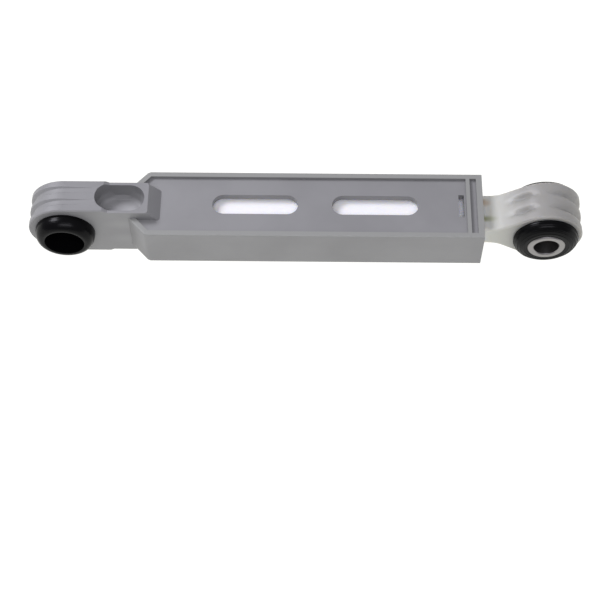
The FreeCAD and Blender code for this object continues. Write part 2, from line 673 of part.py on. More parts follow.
# Rubber bush of the housing eye: smooth domes, the front one higher
def makeHousingBush():
    body = newBody("housing_bush")
    tips = (size("housingBushFront"), size("housingBushRear"))
    bushSection(body, size("housingBore"), size("housingBushHole"), size("neckHalfWidth"),
                size("housingBushFlange"), tips, int(size("domeFacets")), 0)
    return body


# Rubber bush of the plunger eye: stepped domes round a steel sleeve
def makePlungerBush():
    body = newBody("plunger_bush")
    bind(body, "Placement.Base.x", "Sizes.eyeToEye")
    tips = (size("plungerBushFront"), size("plungerBushRear"))
    bushSection(body, size("plungerBore"), size("sleeveOuter"), size("barHalfWidth"),
                size("plungerBushFlange"), tips, int(size("domeSteps")), size("stepHeight"))
    return body


def makeSleeve():
    body = newBody("bush_sleeve")
    bind(body, "Placement.Base.x", "Sizes.eyeToEye")
    sketch = newSketch(body, "wallHalf", "XY_Plane")
    inner = "Sizes.sleeveInner"
    outer = "Sizes.sleeveOuter"
    front = "Sizes.sleeveFront"
    rear = "Sizes.sleeveRear"
    edge = "Sizes.sleeveChamfer"
    polygon(sketch, [
        (inner, "-" + front),
        (f"{outer} - {edge}", "-" + front),
        (outer, f"{edge} - {front}"),
        (outer, f"{rear} - {edge}"),
        (f"{outer} - {edge}", rear),
        (inner, rear),
    ])
    revolve(body, sketch, "sleeve")
    return body


# Linings and guide blocks come in pairs, on the -Y side and the +Y side

def makeLining(label, sign):
    body = newBody(label)
    sketch = newSketch(body, "liningPlan", "XY_Plane")
    inner = f"{sign} * Sizes.liningInner"
    outer = f"{sign} * Sizes.liningOuter"
    rectangle(sketch, "Sizes.liningStart", "Sizes.liningEnd", inner, outer)
    pad(body, sketch, "lining", "Sizes.liningHeight")
    return body


def makeGuideBlock(label, sign):
    body = newBody(label)
    sketch = newSketch(body, "blockPlan", "XY_Plane")
    inner = f"{sign} * Sizes.blockInner"
    outer = f"{sign} * Sizes.cavityHalfWidth"
    led = f"{sign} * (Sizes.blockInner + Sizes.blockLead)"
    polygon(sketch, [
        ("Sizes.stopStart", outer),
        ("Sizes.stopStart", led),
        ("Sizes.stopStart + Sizes.blockLead", inner),
        ("Sizes.blockEnd - Sizes.blockLead", inner),
        ("Sizes.blockEnd", led),
        ("Sizes.blockEnd", outer),
    ])
    pad(body, sketch, "block", "2 * Sizes.runnerHalfHeight")
    sketch = newSketch(body, "ribPlan", "XY_Plane")
    rectangle(sketch, "Sizes.snapStart", "Sizes.snapEnd", led, f"{sign} * Sizes.snapOuter")
    pad(body, sketch, "snapRib", "Sizes.blockSnapHeight")
    return body


bodies = [
    makeHousing(),
    makeHousingBush(),
    makePlunger(),
    makePlungerBush(),
    makeSleeve(),
    makeLining("friction_lining_front", -1),
    makeLining("friction_lining_rear", 1),
    makeGuideBlock("guide_block_front", -1),
    makeGuideBlock("guide_block_rear", 1),
]

# Check every object, then write each sub-part
doc.recompute()
for item in doc.Objects:
    if "Invalid" in item.State or "Error" in item.State:
        raise RuntimeError(item.Label + " failed: " + ", ".join(item.State))
for body in bodies:
    shape = body.Shape
    if shape.isNull() or not shape.isValid() or len(shape.Solids) != 1:
        raise RuntimeError(body.Label + " is not one valid solid")
os.makedirs("parts", exist_ok=True)
for body in bodies:
    body.Shape.exportStep(f"parts/{body.Label}.step")
    print(body.Label, round(body.Shape.Volume, 1), "mm3", body.Shape.BoundBox)
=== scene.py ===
import math
import bmesh
import bpy
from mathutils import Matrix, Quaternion, Vector


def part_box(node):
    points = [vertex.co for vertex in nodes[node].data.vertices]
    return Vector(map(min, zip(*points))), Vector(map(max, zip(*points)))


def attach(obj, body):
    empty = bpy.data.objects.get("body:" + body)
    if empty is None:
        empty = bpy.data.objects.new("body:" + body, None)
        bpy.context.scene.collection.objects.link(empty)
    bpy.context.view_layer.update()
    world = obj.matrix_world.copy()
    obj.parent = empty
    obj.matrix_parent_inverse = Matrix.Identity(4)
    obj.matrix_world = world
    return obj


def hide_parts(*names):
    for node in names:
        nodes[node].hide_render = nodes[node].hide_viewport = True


# Friction damper of a washing machine tub: grey housing on the left, natural white plunger
# on the right, a rubber bush in each eye. Lengths in the dictionaries are millimetres.

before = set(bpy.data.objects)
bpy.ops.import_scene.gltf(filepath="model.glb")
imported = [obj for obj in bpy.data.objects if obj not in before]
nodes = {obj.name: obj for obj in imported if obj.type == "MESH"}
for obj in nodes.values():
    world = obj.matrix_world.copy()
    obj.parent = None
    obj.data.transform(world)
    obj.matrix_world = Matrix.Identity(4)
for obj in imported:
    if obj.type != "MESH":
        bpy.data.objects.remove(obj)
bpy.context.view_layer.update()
mm = 0.001
plungerEye = 185.0  # X of the plunger eye's centre; the housing's eye is at the origin


def linear(hexColour):
    # sRGB hex to the linear values that the shader takes
    values = [int(hexColour[i:i + 2], 16) / 255 for i in (0, 2, 4)]
    return tuple(v / 12.92 if v <= 0.04045 else ((v + 0.055) / 1.055) ** 2.4 for v in values) + (1.0,)


def addNode(tree, kind, settings=None, links=None):
    # settings are attributes, or input values by name or number; links are inputs to output sockets
    node = tree.nodes.new(kind)
    for name, value in (settings or {}).items():
        if isinstance(name, str) and name not in node.inputs:
            setattr(node, name, value)
        else:
            node.inputs[name].default_value = value
    for name, socket in (links or {}).items():
        tree.links.new(socket, node.inputs[name])
    return node


def newMaterial(name):
    material = bpy.data.materials.new(name)
    material.use_nodes = True
    material.node_tree.nodes.clear()
    return material, material.node_tree


def finishMaterial(tree, settings, links=None):
    # the surface with these values and patterns, on the material's output
    shader = addNode(tree, "ShaderNodeBsdfPrincipled", settings, links)
    addNode(tree, "ShaderNodeOutputMaterial", {}, {"Surface": shader.outputs[0]})


def setOn(piece, material):
    piece.data.materials.clear()
    piece.data.materials.append(material)


def newPiece(name, mesh):
    piece = bpy.data.objects.new(name, mesh)
    bpy.context.scene.collection.objects.link(piece)
    return piece


def plainMesh(piece):
    # the evaluated shape as a plain mesh, with no modifier left
    evaluated = piece.evaluated_get(bpy.context.evaluated_depsgraph_get())
    mesh = bpy.data.meshes.new_from_object(evaluated)
    piece.modifiers.clear()
    piece.data = mesh
    return piece


def standFor(piece, body, slotName, *names):
    # the piece takes the place of these CAD nodes
    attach(piece, body)
    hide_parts(*names)


# Moulded plastic pieces: copies of the CAD nodes, finished as the mould leaves them

sameCorner = 0.002  # corners of the CAD node's loose triangles that lie this near are one
flatAngle = 0.3  # degrees: triangles that meet at less are one flat face


def dropFlaps(shape):
    # two faces on the same corners are a folded flap: both go, with the wires that they leave
    corners = {}
    for face in shape.faces:
        corners.setdefault(frozenset(face.verts), []).append(face)
    flaps = [face for pair in corners.values() if len(pair) == 2 for face in pair]
    bmesh.ops.delete(shape, geom=flaps, context="FACES_ONLY")
    bmesh.ops.delete(shape, geom=[edge for edge in shape.edges if edge.is_wire], context="EDGES")


def finerFaces(shape, free, grid, splits):
    # small triangles wherever a point is free to move; returns those points
    for turn in range(splits + 1):
        touched = [face for face in shape.faces if any(free(point) for point in face.verts)]
        bmesh.ops.triangulate(shape, faces=touched)
        dropFlaps(shape)
        if turn < splits:
            long = [edge for edge in shape.edges
                    if edge.calc_length() > grid * mm and any(free(point) for point in edge.verts)]
            bmesh.ops.subdivide_edges(shape, edges=long, cuts=1)
    return [point for point in shape.verts if free(point)]


def evenOut(shape, loose, turns, sideways):
    for turn in range(turns):
        bmesh.ops.smooth_vert(shape, verts=loose, factor=0.5, use_axis_x=True, use_axis_y=sideways,
                              use_axis_z=True)


def roundedScoops(shape, look):
    # the foot of both scoops in the neck, evened out to a bowl below a straight lip
    def free(point):
        x, y, z = point.co / mm
        belowLip = abs(y) < look["bowlHalf"] and abs(z) < look["bowlLip"]
        return belowLip and look["bowlFrom"] < x < look["bowlTo"]

    loose = finerFaces(shape, free, look["bowlGrid"], look["bowlSplits"])
    evenOut(shape, loose, look["bowlTurns"], True)


def evenedLobes(shape, look):
    # the outside of the eye, evened out so that its lobes run softly
    def pastNeck(point):
        return point.co.x > look["softFrom"] * mm

    def free(point):
        outside = math.hypot(point.co.x - plungerEye * mm, point.co.z) > look["softInner"] * mm
        return outside and pastNeck(point) and abs(point.co.y) < look["softWidth"] * mm

    # edges along the middle and along both valleys
    for side in (-1, 0, 1):
        region = [face for face in shape.faces if all(pastNeck(point) for point in face.verts)]
        region += list({edge for face in region for edge in face.edges})
        bmesh.ops.bisect_plane(shape, geom=region, dist=look["cutSnap"] * mm, plane_no=(0, 1, 0),
                               plane_co=(0, side * look["valleyPlace"] * mm, 0))
    loose = finerFaces(shape, free, look["softGrid"], look["softSplits"])
    evenOut(shape, loose, look["softTurns"], False)

    # two soft valleys between the lobes, deepest before the eye and at its far side
    shape.normal_update()
    for point in loose:
        x, y = point.co.x / mm, abs(point.co.y) / mm
        across = min(1.0, abs(y - look["valleyPlace"]) / look["valleyReach"])
        before = min(1.0, abs(x - look["valleyFront"]) / look["valleyFade"])
        beyond = min(1.0, max(0.0, (look["valleyBack"] - x) / look["valleyFade"]))
        along = (2 + math.cos(math.pi * before) + math.cos(math.pi * beyond)) / 2
        depth = look["valleyDepth"] * mm * (1 + math.cos(math.pi * across)) / 2 * min(1.0, along)
        inwards = Vector((point.normal.x, 0, point.normal.z))
        point.co -= inwards * depth


def mouldedCopy(name, look, shaping=None):
    # loose triangles become a closed shape with whole flat faces, then edges and curves soften
    mesh = nodes[name].data.copy()
    shape = bmesh.new()
    shape.from_mesh(mesh)
    bmesh.ops.remove_doubles(shape, verts=shape.verts, dist=sameCorner * mm)
    bmesh.ops.dissolve_limit(shape, angle_limit=math.radians(flatAngle), verts=shape.verts,
                             edges=shape.edges)
    bmesh.ops.connect_verts_concave(shape, faces=shape.faces)
    shape.to_mesh(mesh)
    shape.free()
    piece = newPiece(name + "Moulding", mesh)
    if "edge" in look:
        edges = piece.modifiers.new("edges", "BEVEL")
        edges.width = look["edge"] * mm
        edges.segments = look["edgeFacets"]
        edges.limit_method = "ANGLE"
        edges.angle_limit = math.radians(look["edgeAngle"])
        edges.miter_outer = "MITER_ARC"
        edges.use_clamp_overlap = True
        plainMesh(piece)
    if shaping:
        shape = bmesh.new()
        shape.from_mesh(piece.data)
        shaping(shape, look)
        shape.to_mesh(piece.data)
        shape.free()
    piece.data.shade_smooth()
    piece.data.set_sharp_from_angle(angle=math.radians(look["smoothAngle"]))
    piece.modifiers.new("flatFaces", "WEIGHTED_NORMAL").keep_sharp = True
    return plainMesh(piece)


# a patch of tone is whole up to 0.2 of its reach from its middle, and gone at 1.6
patchFade = {"interpolation_type": "SMOOTHSTEP", "From Min": 1.6, "From Max": 0.2}


def patched(tree, place, colour, patch):
    middle, reach = ([length * mm for length in patch[name]] for name in ("middle", "reach"))
    offset = addNode(tree, "ShaderNodeVectorMath", {"operation": "SUBTRACT", 1: middle}, {0: place})
    spread = addNode(tree, "ShaderNodeVectorMath", {"operation": "DIVIDE", 1: reach}, {0: offset.outputs[0]})
    away = addNode(tree, "ShaderNodeVectorMath", {"operation": "LENGTH"}, {0: spread.outputs[0]})
    share = addNode(tree, "ShaderNodeMapRange", {**patchFade, "To Max": patch["strength"]},
                    {"Value": away.outputs["Value"]})
    mix = addNode(tree, "ShaderNodeMix", {"data_type": "RGBA", 7: linear(patch["tone"])},
                  {0: share.outputs["Result"], 6: colour})
    return mix.outputs[2]


# Polypropylene, moulded in mid grey: satin from a spark texture, slightly cloudy in tone. The
# texture is drawn coarser than the real one of about 0.1 mm, so that it still shows.
housingLook = {
    "edge": 0.25,
    "edgeFacets": 2,
    "edgeAngle": 28.0,
    "smoothAngle": 24.0,
    "tone": "8D8D8D",
    "shade": "868686",
    "roughness": 0.5,
    "grain": 0.5,
    "grainDepth": 0.02,
    "cloud": 22.0,
    "cloudFrom": 0.35,
    "cloudTo": 0.65,
    # painted highlight along the tube's rims
    "rimTone": "91928E",
    "rimLow": 8.9,
    "rimHigh": 9.2,
    "rimInner": 7.2,
    "tubeFrom": 40.0,
    # painted light: both scoop floors are drawn lighter, standing in for light that reaches the deep bowls
    "scoopFloors": [
        {"tone": "ACACAC", "middle": (22.5, -1.5, 5.0), "reach": (8.0, 4.5, 4.0), "strength": 1.0},
        {"tone": "ACACAC", "middle": (22.5, -1.5, -5.0), "reach": (8.0, 4.5, 4.0), "strength": 1.0},
    ],
    "bowlFrom": 11.9,
    "bowlTo": 31.5,
    "bowlHalf": 6.1,
    "bowlLip": 9.5,
    "bowlGrid": 0.9,
    "bowlSplits": 5,
    "bowlTurns": 40,
}


def polypropylene(look):
    material, tree = newMaterial("mouldedPolypropylene")
    place = addNode(tree, "ShaderNodeTexCoord").outputs["Object"]
    cloud = addNode(tree, "ShaderNodeTexNoise", {"Scale": 1 / (look["cloud"] * mm), "Detail": 3.0},
                    {"Vector": place})
    ramp = addNode(tree, "ShaderNodeValToRGB", {}, {"Fac": cloud.outputs["Fac"]})
    low, high = ramp.color_ramp.elements
    low.position = look["cloudFrom"]
    low.color = linear(look["shade"])
    high.position = look["cloudTo"]
    high.color = linear(look["tone"])
    grain = addNode(tree, "ShaderNodeTexNoise", {"Scale": 1 / (look["grain"] * mm), "Detail": 2.0},
                    {"Vector": place})
    bump = addNode(tree, "ShaderNodeBump", {"Strength": 0.5, "Distance": look["grainDepth"] * mm},
                   {"Height": grain.outputs["Fac"]})
    colour = ramp.outputs["Color"]
    # painted light on both scoop floors, lifting the shade of the deep bowls
    for floor in look["scoopFloors"]:
        colour = patched(tree, place, colour, floor)

    # painted highlight: the tube's rims a shade lighter and warmer than its sunk panels, where their rounded
    # edges catch the light
    distance = addNode(tree, "ShaderNodeVectorMath", {"operation": "ABSOLUTE"}, {0: place})
    split = addNode(tree, "ShaderNodeSeparateXYZ", {}, {"Vector": distance.outputs[0]})
    onTube = addNode(tree, "ShaderNodeMath", {"operation": "GREATER_THAN", 1: look["tubeFrom"] * mm},
                     {0: split.outputs["X"]})
    besideNeck = addNode(tree, "ShaderNodeMath", {"operation": "GREATER_THAN", 1: look["rimInner"] * mm},
                         {0: split.outputs["Y"]})
    either = addNode(tree, "ShaderNodeMath", {"operation": "MAXIMUM"},
                     {0: onTube.outputs[0], 1: besideNeck.outputs[0]})
    onRim = addNode(tree, "ShaderNodeMapRange",
                    {"From Min": look["rimLow"] * mm, "From Max": look["rimHigh"] * mm},
                    {"Value": split.outputs["Z"], "To Max": either.outputs[0]})
    rimHighlighted = addNode(tree, "ShaderNodeMix", {"data_type": "RGBA", 7: linear(look["rimTone"])},
                     {0: onRim.outputs["Result"], 6: colour})
    finishMaterial(tree, {"Roughness": look["roughness"]},
                   {"Base Color": rimHighlighted.outputs[2], "Normal": bump.outputs["Normal"]})
    return material


# Polyamide in its natural white: slightly translucent and greenish, satin. The bar is painted brighter where
# it shows in the slots, and painted shade, brownish and greenish, lies in the two channels at the housing's
# mouth
plungerLook = {
    "smoothAngle": 30.0,
    "cutSnap": 0.02,
    "softFrom": 163.0,
    "softWidth": 7.35,
    "softInner": 12.0,
    "softGrid": 0.6,
    "softSplits": 5,
    "softTurns": 16,
    "valleyPlace": 3.0,
    "valleyReach": 2.2,
    "valleyFront": 176.0,
    "valleyBack": 192.0,
    "valleyFade": 8.0,
    "valleyDepth": 0.6,
    # painted light: the bar is drawn whiter so that it reads lit where it shows through the slots
    "barTone": "FCFCF9",
    "barTo": 156.0,
    "neckTone": "C9CAC1",
    "neckAt": 164.0,
    "eyeTone": "9C9B96",
    "eyeFrom": 176.0,
    "stains": [
        # painted shade in the two channels at the mouth, one brownish, one dark greenish
        {"tone": "B79F7E", "middle": (160.5, 4.5, 4.6), "reach": (3.2, 1.6, 3.0), "strength": 0.75},
        {"tone": "8E9468", "middle": (160.5, -2.8, 4.6), "reach": (4.6, 1.3, 3.0), "strength": 0.85},
    ],
    "roughness": 0.42,
    "scatter": 0.6,
    "scatterReach": 2.5,
    "scatterTint": (1.0, 0.9, 0.7),
}


def polyamide(look):
    material, tree = newMaterial("naturalPolyamide")
    place = addNode(tree, "ShaderNodeTexCoord").outputs["Object"]
    split = addNode(tree, "ShaderNodeSeparateXYZ", {}, {"Vector": place})
    along = addNode(tree, "ShaderNodeMapRange",
                    {"From Min": look["barTo"] * mm, "From Max": look["eyeFrom"] * mm},
                    {"Value": split.outputs["X"]})
    # whitest along the bar, painted brighter so that it reads lit in the slots; greenish white at the neck,
    # greyer at the eye
    ramp = addNode(tree, "ShaderNodeValToRGB", {}, {"Fac": along.outputs["Result"]})
    ramp.color_ramp.elements[0].color = linear(look["barTone"])
    ramp.color_ramp.elements[1].color = linear(look["eyeTone"])
    neckPart = (look["neckAt"] - look["barTo"]) / (look["eyeFrom"] - look["barTo"])
    ramp.color_ramp.elements.new(neckPart).color = linear(look["neckTone"])
    colour = ramp.outputs["Color"]
    # painted shade, brownish and greenish, in the two channels at the mouth
    for channelShade in look["stains"]:
        colour = patched(tree, place, colour, channelShade)
    finishMaterial(tree, {"Roughness": look["roughness"], "Subsurface Weight": look["scatter"],
                          "Subsurface Scale": look["scatterReach"] * mm,
                          "Subsurface Radius": look["scatterTint"]}, {"Base Color": colour})
    return material


housing = mouldedCopy("housing", housingLook, roundedScoops)
setOn(housing, polypropylene(housingLook))
standFor(housing, "housing_side", "housing_plastic", "housing")
plunger = mouldedCopy("plunger", plungerLook, evenedLobes)
setOn(plunger, polyamide(plungerLook))
standFor(plunger, "plunger_side", "plunger_plastic", "plunger")
print("mouldings done")


# Turned and pressed pieces: a half section turned round the eye's axis by Geometry Nodes

sameSeam = 0.0005  # points that lie this near where the turn ends are one


def turnedTree():
    tree = bpy.data.node_groups.new("turnedPiece", "GeometryNodeTree")
    kinds = {"Section": "Geometry", "Around": "Int", "Edge Facets": "Int", "Edge Round": "Float",
             "Centre": "Float", "Rings": "Int", "Ring Facets": "Int", "Ring Size": "Float",
             "Inner Radius": "Float", "Outer Radius": "Float", "Front Foot": "Float", "Front Tip": "Float",
             "Rear Foot": "Float", "Rear Tip": "Float", "Material": "Material"}
    for name, kind in kinds.items():
        tree.interface.new_socket(name, in_out="INPUT", socket_type="NodeSocket" + kind)
    tree.interface.new_socket("Piece", in_out="OUTPUT", socket_type="NodeSocketGeometry")
    enter = addNode(tree, "NodeGroupInput").outputs

    # the section's corners are rounded, and its points are the rows of a grid
    loop = addNode(tree, "GeometryNodeMeshToCurve", {}, {"Mesh": enter["Section"]})
    rounded = addNode(tree, "GeometryNodeFilletCurve", {"mode": "POLY", "Limit Radius": True},
                      {"Curve": loop.outputs[0], "Count": enter["Edge Facets"],
                       "Radius": enter["Edge Round"]})
    points = addNode(tree, "GeometryNodeCurveToPoints", {"mode": "EVALUATED"}, {"Curve": rounded.outputs[0]})
    count = addNode(tree, "GeometryNodeAttributeDomainSize", {"component": "POINTCLOUD"},
                    {"Geometry": points.outputs["Points"]}).outputs["Point Count"]
    columns = addNode(tree, "ShaderNodeMath", {"operation": "ADD", 1: 1.0}, {0: enter["Around"]})
    rows = addNode(tree, "ShaderNodeMath", {"operation": "ADD", 1: 1.0}, {0: count})
    grid = addNode(tree, "GeometryNodeMeshGrid", {"Size X": 1.0, "Size Y": 1.0},
                   {"Vertices X": columns.outputs[0], "Vertices Y": rows.outputs[0]})
    position = addNode(tree, "GeometryNodeInputPosition").outputs[0]
    spot = addNode(tree, "ShaderNodeSeparateXYZ", {}, {"Vector": position}).outputs
    row = addNode(tree, "ShaderNodeMapRange", {"From Min": -0.5, "From Max": 0.5},
                  {"Value": spot["Y"], "To Max": count})
    whole = addNode(tree, "ShaderNodeMath", {"operation": "ROUND"}, {0: row.outputs["Result"]})
    inLoop = addNode(tree, "ShaderNodeMath", {"operation": "MODULO"}, {0: whole.outputs[0], 1: count})
    corner = addNode(tree, "GeometryNodeSampleIndex", {"data_type": "FLOAT_VECTOR"},
                     {"Geometry": points.outputs["Points"], "Value": position, "Index": inLoop.outputs[0]})

    # the grid's columns are laid round the axis, and the seam is closed
    angle = addNode(tree, "ShaderNodeMapRange", {"From Min": -0.5, "From Max": 0.5, "To Max": 2 * math.pi},
                    {"Value": spot["X"]})
    swung = addNode(tree, "ShaderNodeVectorRotate", {"rotation_type": "Y_AXIS", "invert": True},
                    {"Vector": corner.outputs["Value"], "Angle": angle.outputs["Result"]})
    centre = addNode(tree, "ShaderNodeCombineXYZ", {}, {"X": enter["Centre"]})
    laid = addNode(tree, "GeometryNodeSetPosition", {},
                   {"Geometry": grid.outputs["Mesh"], "Position": swung.outputs["Vector"],
                    "Offset": centre.outputs["Vector"]})
    closed = addNode(tree, "GeometryNodeMergeByDistance", {"Distance": sameSeam * mm},
                     {"Geometry": laid.outputs[0]})

    # moulded rings on the domes of both faces: circles on an elliptic arc, swept by a small circle
    number = addNode(tree, "GeometryNodeInputIndex").outputs[0]
    step = addNode(tree, "ShaderNodeMath", {"operation": "MODULO"}, {0: number, 1: enter["Rings"]})
    border = addNode(tree, "ShaderNodeMath", {"operation": "SUBTRACT", 1: 0.5}, {0: enter["Rings"]})
    onRear = addNode(tree, "ShaderNodeMath", {"operation": "GREATER_THAN"},
                     {0: number, 1: border.outputs[0]})
    turn = addNode(tree, "ShaderNodeMapRange", {"From Min": -0.5, "To Max": math.pi / 2},
                   {"Value": step.outputs[0], "From Max": border.outputs[0]})
    measures = []
    for operation, foot, tip in (("COSINE", "Inner Radius", "Outer Radius"),
                                 ("SINE", "Front Foot", "Front Tip"), ("SINE", "Rear Foot", "Rear Tip")):
        share = addNode(tree, "ShaderNodeMath", {"operation": operation}, {0: turn.outputs["Result"]})
        measure = addNode(tree, "ShaderNodeMapRange", {},
                          {"Value": share.outputs[0], "To Min": enter[foot], "To Max": enter[tip]})
        measures.append(measure.outputs["Result"])
    radius, frontHeight, rearHeight = measures
    height = addNode(tree, "ShaderNodeMapRange", {},
                     {"Value": onRear.outputs[0], "To Min": frontHeight, "To Max": rearHeight})
    middle = addNode(tree, "ShaderNodeCombineXYZ", {}, {"X": enter["Centre"], "Y": height.outputs["Result"]})
    onBoth = addNode(tree, "ShaderNodeMath", {"operation": "MULTIPLY", 1: 2.0}, {0: enter["Rings"]})
    seeds = addNode(tree, "GeometryNodePoints", {},
                    {"Count": onBoth.outputs[0], "Position": middle.outputs[0]})
    hoop = addNode(tree, "GeometryNodeCurvePrimitiveCircle", {"Radius": 1.0}, {"Resolution": enter["Around"]})
    hoops = addNode(tree, "GeometryNodeInstanceOnPoints", {"Rotation": (math.pi / 2, 0.0, 0.0)},
                    {"Points": seeds.outputs[0], "Instance": hoop.outputs[0], "Scale": radius})
    wires = addNode(tree, "GeometryNodeRealizeInstances", {}, {"Geometry": hoops.outputs[0]})
    bead = addNode(tree, "GeometryNodeCurvePrimitiveCircle", {},
                   {"Resolution": enter["Ring Facets"], "Radius": enter["Ring Size"]})
    beads = addNode(tree, "GeometryNodeCurveToMesh", {},
                    {"Curve": wires.outputs[0], "Profile Curve": bead.outputs[0]})

    both = addNode(tree, "GeometryNodeJoinGeometry", {}, {"Geometry": closed.outputs[0]})
    tree.links.new(beads.outputs[0], both.inputs["Geometry"])
    realized = addNode(tree, "GeometryNodeRealizeInstances", {}, {"Geometry": both.outputs[0]})
    painted = addNode(tree, "GeometryNodeSetMaterial", {},
                      {"Geometry": realized.outputs[0], "Material": enter["Material"]})
    addNode(tree, "NodeGroupOutput", {}, {"Piece": painted.outputs[0]})
    return tree


turned = turnedTree()


def turnedPiece(name, section, look, material, rings=None):
    # section: corners as (radius, Y) in order round the half section; rings: inputs for the rings
    corners = [(radius * mm, y * mm, 0) for radius, y in section]
    count = len(corners)
    mesh = bpy.data.meshes.new(name)
    mesh.from_pydata(corners, [(i, (i + 1) % count) for i in range(count)], [])
    piece = newPiece(name, mesh)
    modifier = piece.modifiers.new("turned", "NODES")
    modifier.node_group = turned
    sockets = [item for item in turned.interface.items_tree if item.in_out == "INPUT"]
    identifiers = {socket.name: socket.identifier for socket in sockets}
    inputs = {"Around": look["around"], "Edge Facets": look["edgeFacets"], "Edge Round": look["edgeRound"],
              "Centre": look["centre"], "Material": material}
    for inputName, value in {**inputs, **(rings or {})}.items():
        modifier[identifiers[inputName]] = value * mm if isinstance(value, float) else value
    plainMesh(piece)
    shape = bmesh.new()
    shape.from_mesh(piece.data)
    bmesh.ops.recalc_face_normals(shape, faces=shape.faces)
    shape.to_mesh(piece.data)
    shape.free()
    setOn(piece, material)  # without the empty slot that the section's own mesh brings
    piece.data.shade_smooth()
    piece.data.set_sharp_from_angle(angle=math.radians(look["smoothAngle"]))
    return piece


def bushSection(look):
    # both halves: from the bore out round the flange, and over the dome to the hole
    corners = []
    turns = [math.pi / 2 * i / look["domeFacets"] for i in range(look["domeFacets"] + 1)]
    for side, tip in ((-1, look["front"]), (1, look["rear"])):
        foot = look["face"] + min(look["lip"], (tip - look["face"]) * look["lipShare"])
        arc = [(look["rim"] + (look["flange"] - look["rim"]) * math.cos(turn),
                foot + (tip - foot) * math.sin(turn)) for turn in turns]
        chain = [(look["bore"], look["face"]), (look["flange"], look["face"])] + arc + [(look["hole"], tip)]
        chain = [(radius, side * y) for radius, y in chain]
        corners = chain[::-1] + corners if side < 0 else corners + chain
    return corners


# Rubber, moulded and vulcanised black: a satin skin with a soft, wide gloss. Its grain is drawn
# coarser than the real one, so that it still shows.
rubberLook = {"tone": "070708", "roughness": 0.25, "gloss": 0.11, "grain": 0.7, "grainDepth": 0.012}


def blackRubber(look):
    material, tree = newMaterial("mouldedRubber")
    place = addNode(tree, "ShaderNodeTexCoord").outputs["Object"]
    grain = addNode(tree, "ShaderNodeTexNoise", {"Scale": 1 / (look["grain"] * mm), "Detail": 3.0},
                    {"Vector": place})
    bump = addNode(tree, "ShaderNodeBump", {"Strength": 0.5, "Distance": look["grainDepth"] * mm},
                   {"Height": grain.outputs["Fac"]})
    finishMaterial(tree, {"Base Color": linear(look["tone"]), "Roughness": look["roughness"],
                          "Specular IOR Level": look["gloss"]}, {"Normal": bump.outputs["Normal"]})
    return material


rubber = blackRubber(rubberLook)
housingBushLook = {
    "centre": 0.0,
    "hole": 7.6,
    "bore": 10.5,
    "flange": 11.45,
    "rim": 8.3,
    "face": 6.98,
    "lip": 1.0,
    "lipShare": 1 / 3,
    "front": 12.55,
    "rear": 8.95,
    "domeFacets": 10,
    "around": 160,
    "edgeFacets": 3,
    "edgeRound": 0.15,
    "smoothAngle": 32.0,
}
housingBush = turnedPiece("housingBush", bushSection(housingBushLook), housingBushLook, rubber)
standFor(housingBush, "housing_side", "bush_rubber", "housing_bush")

plungerBushLook = {
    "centre": plungerEye,
    "hole": 7.15,
    "bore": 11.3,
    "flange": 12.35,
    "rim": 8.2,
    "face": 8.13,
    "lip": 0.5,
    "lipShare": 1 / 3,
    "front": 12.4,
    "rear": 10.35,
    "domeFacets": 10,
    "around": 160,
    "edgeFacets": 3,
    "edgeRound": 0.12,
    "smoothAngle": 32.0,
    "rings": 5,
    "ringFacets": 10,
    "ringSize": 0.16,
}
domeFoot = plungerBushLook["face"] + plungerBushLook["lip"]
mouldedRings = {
    "Rings": plungerBushLook["rings"],
    "Ring Facets": plungerBushLook["ringFacets"],
    "Ring Size": plungerBushLook["ringSize"],
    "Inner Radius": plungerBushLook["rim"],
    "Outer Radius": plungerBushLook["flange"],
    "Front Foot": -domeFoot,
    "Front Tip": -plungerBushLook["front"],
    "Rear Foot": domeFoot,
    "Rear Tip": plungerBushLook["rear"],
}
plungerBush = turnedPiece("plungerBush", bushSection(plungerBushLook), plungerBushLook, rubber, mouldedRings)
standFor(plungerBush, "plunger_side", "bush_rubber", "plunger_bush")

# Steel, turned and zinc plated: bright, with rings from the tool on its end faces, drawn about
# twice as far apart as the real ones, so that they still show
sleeveLook = {
    "centre": plungerEye,
    "inner": 4.8,
    "outer": 7.14,
    "front": 12.85,
    "rear": 11.12,
    "chamfer": 0.35,
    "around": 160,
    "edgeFacets": 2,
    "edgeRound": 0.08,
    "smoothAngle": 20.0,
    "tone": "918F8E",
    "roughness": 0.33,
    "ringPitch": 0.22,
    "ringDepth": 0.006,
}


def turnedSteel(look):
    material, tree = newMaterial("turnedSteel")
    place = addNode(tree, "ShaderNodeTexCoord").outputs["Object"]
    centred = addNode(tree, "ShaderNodeMapping",
                      {"Location": (-look["centre"] * mm, 0, 0), "Scale": (1, 0, 1)}, {"Vector": place})
    away = addNode(tree, "ShaderNodeVectorMath", {"operation": "LENGTH"}, {0: centred.outputs[0]})
    rings = addNode(tree, "ShaderNodeTexNoise",
                    {"noise_dimensions": "1D", "Scale": 1 / (look["ringPitch"] * mm), "Detail": 2.0},
                    {"W": away.outputs["Value"]})
    bump = addNode(tree, "ShaderNodeBump", {"Strength": 0.6, "Distance": look["ringDepth"] * mm},
                   {"Height": rings.outputs["Fac"]})
    finishMaterial(tree, {"Base Color": linear(look["tone"]), "Metallic": 1.0,
                          "Roughness": look["roughness"]}, {"Normal": bump.outputs["Normal"]})
    return material


def sleeveSection(look):
    inner, outer, cut = look["inner"], look["outer"], look["chamfer"]
    front, rear = -look["front"], look["rear"]
    return [(inner, front + cut), (inner + cut, front), (outer - cut, front), (outer, front + cut),
            (outer, rear - cut), (outer - cut, rear), (inner + cut, rear), (inner, rear - cut)]


sleeve = turnedPiece("steelSleeve", sleeveSection(sleeveLook), sleeveLook, turnedSteel(sleeveLook))
standFor(sleeve, "plunger_side", "sleeve_steel", "bush_sleeve")
print("bushes done")

